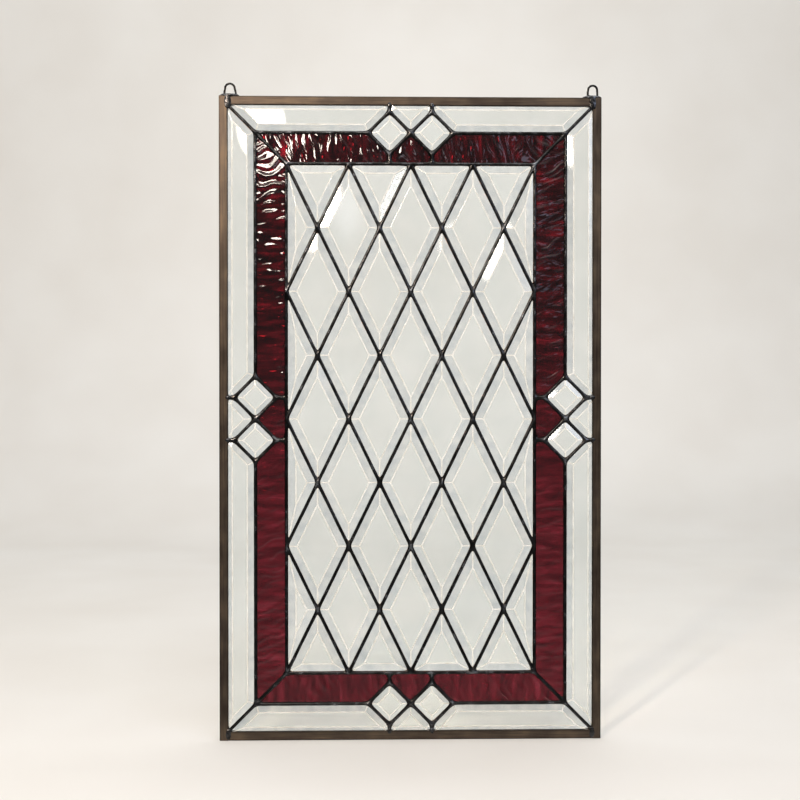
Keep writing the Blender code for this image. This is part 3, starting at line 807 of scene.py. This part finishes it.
# Copper foil, seen edge on through the glass: thin rolled copper, aged to a dull pink brown.
copper_foil, tree, place = new_material("aged_copper_foil")
age = add(tree, "ShaderNodeTexNoise", {"Vector": place, "Scale": 1 / 0.020, "Detail": 3.0})
colour = add(tree, "ShaderNodeValToRGB", {"Fac": age.outputs["Fac"]})
stops(colour, [(0.35, "#6b4638"), (0.65, "#a9765c")])
shader = add(tree, "ShaderNodeBsdfPrincipled", {
    "Base Color": colour.outputs["Color"], "Metallic": 1.0, "Roughness": 0.42,
})
add(tree, "ShaderNodeOutputMaterial", {"Surface": shader.outputs[0]})

mesh.materials.append(black_solder)
mesh.materials.append(copper_foil)
seams = in_scene("solder_seams", mesh)
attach(seams, "root")
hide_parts("solder_lattice")


# Frame
# Four lengths of rolled channel stained bronze brown. The side rails run the full height, and
# the top and bottom rails butt between them; each takes the glass in its groove.

CHANNEL_HALF = 4.04 * MM
GROOVE_HALF = 2.74 * MM
CHANNEL_WALL = 1.3 * MM
RAIL_GAP = 0.3 * MM
LONG_STRAIGHT = 8.0 * MM
EDGE_POINTS = np.array([0.9, 2.0]) * MM
STAIN_AND_SHADE_WIDTH = 1.3 * MM


def rounded_section(corners, radii, steps):
    """Each right-angled corner as an arc of points, centre - r (cos a * ahead + sin a * back)."""
    corners = np.asarray(corners, float)
    back = np.roll(corners, 1, axis=0) - corners
    ahead = np.roll(corners, -1, axis=0) - corners
    back /= np.linalg.norm(back, axis=1, keepdims=True)
    ahead /= np.linalg.norm(ahead, axis=1, keepdims=True)
    radius = np.asarray(radii)[:, None, None]
    angle = np.linspace(0, np.pi / 2, steps)[None, :, None]
    centre = corners[:, None] + radius * (back + ahead)[:, None]
    arcs = centre - radius * (np.cos(angle) * ahead[:, None] + np.sin(angle) * back[:, None])
    return arcs.reshape(-1, 2)


def with_edge_points(section):
    """The closed section with more points near both ends of each long straight."""
    parts = []
    for here, there in zip(section, np.roll(section, -1, axis=0)):
        length = np.linalg.norm(there - here)
        parts.append(here[None])
        if length > LONG_STRAIGHT:
            near = np.append(EDGE_POINTS, length - EDGE_POINTS[::-1]) / length
            parts.append(here + near[:, None] * (there - here))
    return np.vstack(parts)


def closed_tube(grid, base):
    """Faces of a grid of rings, with both ends closed."""
    number, cells = ring_numbers(grid, base)
    return cells.tolist() + [number[0].tolist(), number[-1, ::-1].tolist()]


def rail_mesh(name, start, end, inwards, seed):
    """The channel's section (distance in, depth) carried from start to end along a rail."""
    corners = rounded_section(
        [
            (0, -CHANNEL_HALF), (RAIL_FACE, -CHANNEL_HALF), (RAIL_FACE, -GROOVE_HALF),
            (CHANNEL_WALL, -GROOVE_HALF), (CHANNEL_WALL, GROOVE_HALF),
            (RAIL_FACE, GROOVE_HALF), (RAIL_FACE, CHANNEL_HALF), (0, CHANNEL_HALF),
        ],
        [0.8 * MM, 0.7 * MM, 0.3 * MM, 0.3 * MM, 0.3 * MM, 0.3 * MM, 0.7 * MM, 0.8 * MM],
        5,
    )
    section = with_edge_points(corners)
    start, end, inwards = np.array(start), np.array(end), np.array(inwards)
    stations = np.linspace(0, 1, round(np.linalg.norm(end - start) / (5 * MM)))
    line = start + stations[:, None] * (end - start)
    run = stations * np.linalg.norm(end - start)
    local = np.stack(np.broadcast_arrays(run[:, None], section[None, :, 0]), axis=-1)
    sway = 0.10 * MM * np.minimum(waves(local, [(0.05, 0.20), (0.02, 0.08)], 9, seed) - 2, 0)
    outside = np.abs(section[:, 1]) > GROOVE_HALF + 0.5 * MM
    depth = section[:, 1] + np.where(outside, np.sign(section[:, 1]) * 0.4 * sway, 0)
    plan = line[:, None] + section[:, 0][None, :, None] * inwards
    grid = np.stack([plan[..., 0], depth, plan[..., 1] + MIDDLE_Z], axis=-1)
    mesh = bpy.data.meshes.new(name)
    mesh.from_pydata(grid.reshape(-1, 3).tolist(), [], closed_tube(grid, 0))
    edge = np.minimum(section[:, 0], RAIL_FACE - section[:, 0])
    # Painted shade along the edges of the outer faces, for the dark line at the lip, over the stain
    # that settled there.
    darker = np.broadcast_to(np.exp(-(edge / STAIN_AND_SHADE_WIDTH) ** 2) * outside, grid.shape[:2])
    mark(mesh, "edge", darker.ravel())
    mark(mesh, "run", np.dstack([local, 0 * local[..., :1]]))
    close_up(mesh, 0, 40)
    return mesh


# Bronze patina on rolled channel: a chemical stain on soft metal. It is a dull grey brown, streaked
# along the rail by the stain's flow. Along the edges it is darker, partly where the stain settled
# and partly as painted shade for the dark line where the lip meets the glass.
bronze, tree, place = new_material("bronze_patina_channel")
run = add(tree, "ShaderNodeAttribute", {}, attribute_name="run").outputs["Vector"]
drawn = add(tree, "ShaderNodeMapping", {"Vector": run, "Scale": (1 / 0.055, 1 / 0.0022, 1)})
streaks = add(tree, "ShaderNodeTexNoise", {
    "Vector": drawn.outputs["Vector"], "Scale": 1.0, "Detail": 3.0, "Roughness": 0.6,
})
clouds = add(tree, "ShaderNodeTexNoise", {"Vector": place, "Scale": 1 / 0.035, "Detail": 5.0})
both = add(tree, "ShaderNodeMath", {
    0: streaks.outputs["Fac"], 1: clouds.outputs["Fac"],
}, operation="ADD")
half_sum = add(tree, "ShaderNodeMath", {0: both.outputs[0], 1: 0.5}, operation="MULTIPLY")
stain = add(tree, "ShaderNodeValToRGB", {"Fac": half_sum.outputs[0]})
stops(stain, [(0.36, "#3a3028"), (0.50, "#4d4238"), (0.62, "#605243")])
edge = add(tree, "ShaderNodeAttribute", {}, attribute_name="edge").outputs["Fac"]
# Near-black at the edges: partly settled stain, partly painted shade.
settled_and_shaded = add(tree, "ShaderNodeMath", {0: edge, 1: 0.85}, operation="MULTIPLY")
metal = add(tree, "ShaderNodeMix", {
    0: settled_and_shaded.outputs[0], 6: stain.outputs["Color"], 7: linear("#120f0c"),
}, data_type="RGBA")
rough = add(tree, "ShaderNodeMapRange", {
    "Value": clouds.outputs["Fac"],
    "From Min": 0.30, "From Max": 0.70, "To Min": 0.32, "To Max": 0.44,
})
drag = add(tree, "ShaderNodeBump", {
    "Height": streaks.outputs["Fac"], "Strength": 0.20, "Distance": 0.10 * MM,
})
shader = add(tree, "ShaderNodeBsdfPrincipled", {
    "Base Color": metal.outputs[2],
    "Metallic": 0.75,
    "Roughness": rough.outputs["Result"],
    "Normal": drag.outputs["Normal"],
})
add(tree, "ShaderNodeOutputMaterial", {"Surface": shader.outputs[0]})

w, h = HALF_SIZE
inner_w = w - RAIL_FACE - RAIL_GAP
RAILS = {
    "left": ((-w, -h), (-w, h), (1, 0)),
    "right": ((w, -h), (w, h), (-1, 0)),
    "top": ((-inner_w, h), (inner_w, h), (0, -1)),
    "bottom": ((-inner_w, -h), (inner_w, -h), (0, 1)),
}
for count, (side, (start, end, inwards)) in enumerate(RAILS.items()):
    mesh = rail_mesh("channel_" + side, start, end, inwards, 70 + count)
    mesh.materials.append(bronze)
    rail = in_scene("channel_" + side, mesh)
    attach(rail, "root")
    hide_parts("frame_rail_" + side)


# Hanging loops
# A bent wire stands on each top corner, its legs sunk in solder that also runs down the front
# over the joint of the two rails. Wire and solder carry the same black stain as the seams.

WIRE = 1.55 * MM
SKIN_GRAIN = 0.34 * MM
RAIL_TOP = MIDDLE_Z + HALF_SIZE[1]
LOOPS = {
    "left": {"x": -245.35, "foot": 8.8, "head": 6.5, "lean": -0.5, "cap": 28.0},
    "right": {"x": 248.45, "foot": 7.1, "head": 6.2, "lean": 0.4, "cap": 26.0},
}


def wire_loop(foot, head, lean, seat, top):
    """A tube along an arch: legs that close in from foot to head, and half an ellipse.

    The arch runs x = half width * cos a, z = spring + rise * sin a; the tube's section turns
    with it, round the Y axis and its own outward direction.
    """
    spring = top - head - WIRE
    angle = np.linspace(np.pi, 0, 25)
    arch = np.stack([head * np.cos(angle), spring + (top - WIRE - spring) * np.sin(angle)], 1)
    rise = np.linspace(0, 1, 9)[:-1]
    width = foot + (head - foot) * rise**0.8
    leg = np.stack([-width, seat + (spring - seat) * rise], axis=1)
    path = np.vstack([leg, arch, (leg * (-1, 1))[::-1]])
    path[:, 0] += lean * MM * (path[:, 1] - seat) / (top - seat)
    way = np.gradient(path, axis=0)
    way /= np.linalg.norm(way, axis=1, keepdims=True)
    outward = np.stack([-way[:, 1], way[:, 0]], axis=1)
    turn = np.linspace(0, 2 * np.pi, 20, endpoint=False)
    aside = WIRE * np.cos(turn)[None, :, None] * outward[:, None]
    plan = path[:, None] + aside
    depth = np.broadcast_to(WIRE * np.sin(turn), plan.shape[:2])
    return np.stack([plan[..., 0], depth, plan[..., 1]], axis=-1)


def solder_cap(length, seed):
    """Rings along x of the hump on the rail: a flat-footed oval whose height falls to the ends.

    A ring's depth is its half width * cos a and its rise height * sin a, a tenth of it below.
    """
    share = np.linspace(-0.995, 0.995, 41)
    fall = (1 - np.abs(share) ** 3.2) ** 0.62
    uneven = 1 + 0.07 * waves(np.stack([share, 0 * share], 1), [(0.5, 1.4), (9, 9)], 6, seed)
    turn = np.linspace(0, 2 * np.pi, 28, endpoint=False)
    up = np.where(np.sin(turn) > 0, np.sin(turn), 0.10 * np.sin(turn))
    height = 3.5 * MM * fall * uneven
    depth = -0.72 * MM + 3.95 * MM * np.cos(turn)[None, :] * (0.55 + 0.45 * fall[:, None])
    grid_x = np.broadcast_to((share * length / 2)[:, None], depth.shape)
    return np.stack([grid_x, depth, height[:, None] * up[None, :]], axis=-1)


def joined_solder(name, solids):
    """One skin over overlapping solids, as molten solder closes round what it wets."""
    points, polygons = [], []
    for grid in solids:
        base = sum(len(part) for part in points)
        polygons += closed_tube(grid, base)
        points.append(grid.reshape(-1, 3))
    mesh = bpy.data.meshes.new(name + "_raw")
    mesh.from_pydata(np.vstack(points).tolist(), [], polygons)
    close_up(mesh, 0.005 * MM, 180)
    raw = in_scene(name + "_raw", mesh)
    skin = raw.modifiers.new("skin", "REMESH")
    skin.mode = "VOXEL"
    skin.voxel_size = SKIN_GRAIN
    flow = raw.modifiers.new("flow", "SMOOTH")
    flow.factor = 0.5
    flow.iterations = 5
    bpy.context.view_layer.update()
    graph = bpy.context.evaluated_depsgraph_get()
    skinned = bpy.data.meshes.new_from_object(raw.evaluated_get(graph))
    bpy.data.objects.remove(raw)
    skinned.name = name
    return skinned


for count, (hand, sizes) in enumerate(LOOPS.items()):
    name = "wire_loop_" + hand
    sign = -1 if hand == "left" else 1
    top = cad_box[1].z - 0.05 * MM
    wire = wire_loop(
        sizes["foot"] * MM, sizes["head"] * MM, sizes["lean"], RAIL_TOP + 1.0 * MM, top
    )
    wire[..., 0] += sizes["x"] * MM
    cap = solder_cap(sizes["cap"] * MM, 80 + count)
    cap += (sign * (HALF_SIZE[0] - sizes["cap"] * MM / 2), 0, RAIL_TOP + 0.25 * MM)
    joint_x = sign * (HALF_SIZE[0] - RAIL_FACE)
    run_down = lump(
        (joint_x, -3.9 * MM, RAIL_TOP - 7.2 * MM), (4.9 * MM, 1.32 * MM, 10.2 * MM), 84 + count,
        rows=25, columns=36,
    )
    shoulder = lump(
        (joint_x - sign * 1.0 * MM, -3.6 * MM, RAIL_TOP + 0.6 * MM),
        (7.5 * MM, 1.55 * MM, 2.6 * MM), 88 + count, rows=19, columns=30,
    )
    mesh = joined_solder(name, [wire, cap, run_down, shoulder])
    flat = np.empty(len(mesh.vertices) * 3)
    mesh.vertices.foreach_get("co", flat)
    spots = flat.reshape(-1, 3)
    normals = np.empty_like(flat)
    mesh.vertices.foreach_get("normal", normals)
    uneven = waves(spots, [(0.004, 0.012)] * 3, 16, 90 + count)
    spots = spots + normals.reshape(-1, 3) * (0.10 * MM * (uneven - 1))[:, None]
    mesh.vertices.foreach_set("co", np.clip(spots, *np.array(cad_box)).ravel())
    on_wire = smooth_step(spots[:, 2], RAIL_TOP + 3 * MM, RAIL_TOP + 6 * MM)
    mark(mesh, "worn", 0.85 - 0.35 * on_wire)
    mesh.polygons.foreach_set("use_smooth", np.full(len(mesh.polygons), True))
    mesh.materials.clear()
    mesh.materials.append(black_solder)
    loop = in_scene(name, mesh)
    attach(loop, "root")
    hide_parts("hanging_loop_" + hand)


# Floor and backdrop
# A plain pale sweep: the panel stands on it, and it curves up to a wall far behind. Of the
# sweep, only a strip by the panel is mirrored, so that the bottom rail shows the floor.

FLOOR_Z = cad_box[0].z
SWEEP_DROP = 0.2 * MM
STRIP_DROP = 0.1 * MM


def sweep_line(near, bend, far, radius, height):
    """Points (y, z) of the sweep: flat floor, a quarter circle, then the upright wall."""
    angle = np.linspace(0, np.pi / 2, 24)
    floor = np.stack([np.linspace(near, bend, 8), np.zeros(8)], axis=1)
    curve = np.stack([bend + radius * np.sin(angle), radius * (1 - np.cos(angle))], axis=1)
    wall = np.stack([np.full(6, far), np.linspace(radius, height, 6)], axis=1)
    return np.vstack([floor[:-1], curve, wall[1:]])


line = sweep_line(-9.0, 1.9, 2.9, 1.0, 5.0)
across = np.linspace(-20, 20, 15)
grid = np.stack(np.broadcast_arrays(
    across[None, :], line[:, 0][:, None], line[:, 1][:, None] + FLOOR_Z - SWEEP_DROP
), axis=-1)
number = np.arange(grid.shape[0] * grid.shape[1]).reshape(grid.shape[:2])
cells = np.stack([number[:-1, :-1], number[:-1, 1:], number[1:, 1:], number[1:, :-1]], axis=-1)
mesh = bpy.data.meshes.new("sweep")
mesh.from_pydata(grid.reshape(-1, 3).tolist(), [], cells.reshape(-1, 4).tolist())
mesh.polygons.foreach_set("use_smooth", np.full(len(mesh.polygons), True))

# Matt painted board: warm off-white, the same all over but for the brush of the roller.
board, tree, place = new_material("matt_painted_board")
roller = add(tree, "ShaderNodeTexNoise", {"Vector": place, "Scale": 3.0, "Detail": 2.0})
colour = add(tree, "ShaderNodeValToRGB", {"Fac": roller.outputs["Fac"]})
stops(colour, [(0.3, "#e5e3df"), (0.7, "#eae9e6")])
shader = add(tree, "ShaderNodeBsdfPrincipled", {
    "Base Color": colour.outputs["Color"], "Roughness": 0.8,
})
add(tree, "ShaderNodeOutputMaterial", {"Surface": shader.outputs[0]})
mesh.materials.append(board)
sweep = in_scene("sweep", mesh)
sweep.visible_glossy = False

mesh = bpy.data.meshes.new("floor_by_panel")
strip_corners = [(-0.6, -0.11), (0.6, -0.11), (0.6, 0.02), (-0.6, 0.02)]
mesh.from_pydata([(x, y, FLOOR_Z - STRIP_DROP) for x, y in strip_corners], [], [(0, 1, 2, 3)])
mesh.materials.append(board)
near_floor = in_scene("floor_by_panel", mesh)


# Light
# Soft lamps in front: small ones that the glass, the ripples and the rails mirror, and wide
# weak ones over the whole. Two more light the wall. The pale room all round is darker where a
# surface mirrors it.


def facing(spot, aim):
    """Matrix that puts a lamp or camera upright at spot, its own -Z axis pointing at aim."""
    away = np.subtract(spot, aim)
    away = away / np.linalg.norm(away)
    right = np.cross((0, 0, 1), away)
    right /= np.linalg.norm(right)
    turn = np.column_stack([right, np.cross(away, right), away])
    return Matrix([[*turn[k], spot[k]] for k in range(3)] + [[0, 0, 0, 1]])


def soft_lamp(name, spot, aim, width, height, power, colour, core=0.3, through=False):
    """An area lamp that fades smoothly to its rim, from a core of the given share.

    Only a lamp with through set can be seen through the glass.
    """
    data = bpy.data.lights.new(name, "AREA")
    data.shape = "RECTANGLE"
    data.size = width
    data.size_y = height
    data.energy = power
    data.color = linear(colour)[:3]
    data.use_nodes = True
    tree = data.node_tree
    tree.nodes.clear()
    place = add(tree, "ShaderNodeNewGeometry", {}).outputs["Parametric"]
    far = add(tree, "ShaderNodeVectorMath", {0: place, 1: (0.5, 0.5, 0.0)}, operation="DISTANCE")
    glow = add(tree, "ShaderNodeMapRange", {
        "Value": far.outputs["Value"], "From Min": 0.5, "From Max": 0.5 * core,
    }, interpolation_type="SMOOTHSTEP")
    shine = add(tree, "ShaderNodeEmission", {"Strength": glow.outputs["Result"]})
    add(tree, "ShaderNodeOutputLight", {"Surface": shine.outputs[0]})
    lamp = in_scene(name, data)
    lamp.visible_transmission = through
    lamp.matrix_world = facing(spot, aim)


soft_lamp(
    "window", (-0.42, -2.10, 0.44), (-0.2, 0, -0.05), 0.17, 0.25, 5.6, "#fff6e8", 0.7, through=True
)
soft_lamp(
    "window_left", (-0.56, -2.10, 0.44), (-0.26, 0, -0.05), 0.10, 0.20, 1.5, "#fff6e8", 0.5,
    through=True,
)
soft_lamp("sky_gap", (-0.14, -2.10, 0.17), (-0.08, 0, -0.17), 0.15, 0.29, 0.4, "#f2f6ff", 0.1)
soft_lamp("side", (-1.06, -2.10, 0.64), (-0.3, 0, -0.1), 0.20, 0.38, 62, "#ffe8d2", 0.5)
soft_lamp("key", (-0.55, -2.10, 1.08), (0, 0, -0.4), 1.5, 1.1, 13, "#fff0df")
soft_lamp("gap_top", (0.46, -2.10, 0.40), (0.16, 0, -0.07), 0.12, 0.14, 0.11, "#e6e2ff", 0.4)
soft_lamp("gap_side", (0.52, -2.10, -0.04), (0.19, 0, -0.25), 0.09, 0.30, 0.11, "#e6e2ff", 0.4)
soft_lamp("overhead", (0.0, -1.3, 1.9), (0, 0, -0.5), 1.8, 1.1, 40, "#ffffff")
soft_lamp("fill", (1.7, -1.9, 0.6), (0, 0, -0.5), 1.4, 1.6, 32, "#d3e1ff")
soft_lamp("wall_wash", (0.0, 0.4, 2.3), (0, 2.6, 0.0), 3.0, 0.8, 52, "#ffffff")

pool_data = bpy.data.lights.new("wall_pool", "SPOT")
pool_data.energy = 28
pool_data.spot_size = math.radians(66)
pool_data.spot_blend = 1.0
pool_data.shadow_soft_size = 0.2
pool = in_scene("wall_pool", pool_data)
pool.matrix_world = facing((0.15, 0.5, 1.3), (0.15, 2.232, 0.3))

world = bpy.data.worlds.new("pale_room")
bpy.context.scene.world = world
world.use_nodes = True
tree = world.node_tree
tree.nodes.clear()
path = add(tree, "ShaderNodeLightPath", {})
way = add(tree, "ShaderNodeTexCoord", {}).outputs["Generated"]
rise = add(tree, "ShaderNodeSeparateXYZ", {"Vector": way}).outputs["Z"]
dome = add(tree, "ShaderNodeMapRange", {
    "Value": rise, "From Min": 0.20, "From Max": 0.60, "To Min": 0.20, "To Max": 1.6,
}, interpolation_type="SMOOTHSTEP")
ground = add(tree, "ShaderNodeMapRange", {
    "Value": rise, "From Min": -0.12, "From Max": -0.45, "To Max": 0.35,
}, interpolation_type="SMOOTHSTEP")
around = add(tree, "ShaderNodeMath", {
    0: dome.outputs["Result"], 1: ground.outputs["Result"],
}, operation="ADD")

# Rays through the glass count as glossy too, so they are taken off again.
mirrored = add(tree, "ShaderNodeMath", {
    0: path.outputs["Is Glossy Ray"], 1: path.outputs["Is Transmission Ray"],
}, operation="SUBTRACT", use_clamp=True)
level = add(tree, "ShaderNodeMix", {0: mirrored.outputs[0], 2: 0.66, 3: around.outputs[0]})
sky = add(tree, "ShaderNodeBackground", {"Color": linear("#f3f2ef"), "Strength": level.outputs[0]})
add(tree, "ShaderNodeOutputWorld", {"Surface": sky.outputs[0]})
bpy.context.scene.view_settings.view_transform = "Standard"


# Camera
# The photograph's viewing angle: from straight in front, a little left of the middle.

camera_data = bpy.data.cameras.new("camera")
camera_data.lens = 50.0
camera_data.sensor_width = 36.0
camera_data.clip_start = 0.05
camera = in_scene("camera", camera_data)
spot = np.array([-0.047, -1.517, MIDDLE_Z + 0.040])
camera.matrix_world = facing(spot, spot + (0.0213, 0.9997, -0.0094))
bpy.context.scene.camera = camera
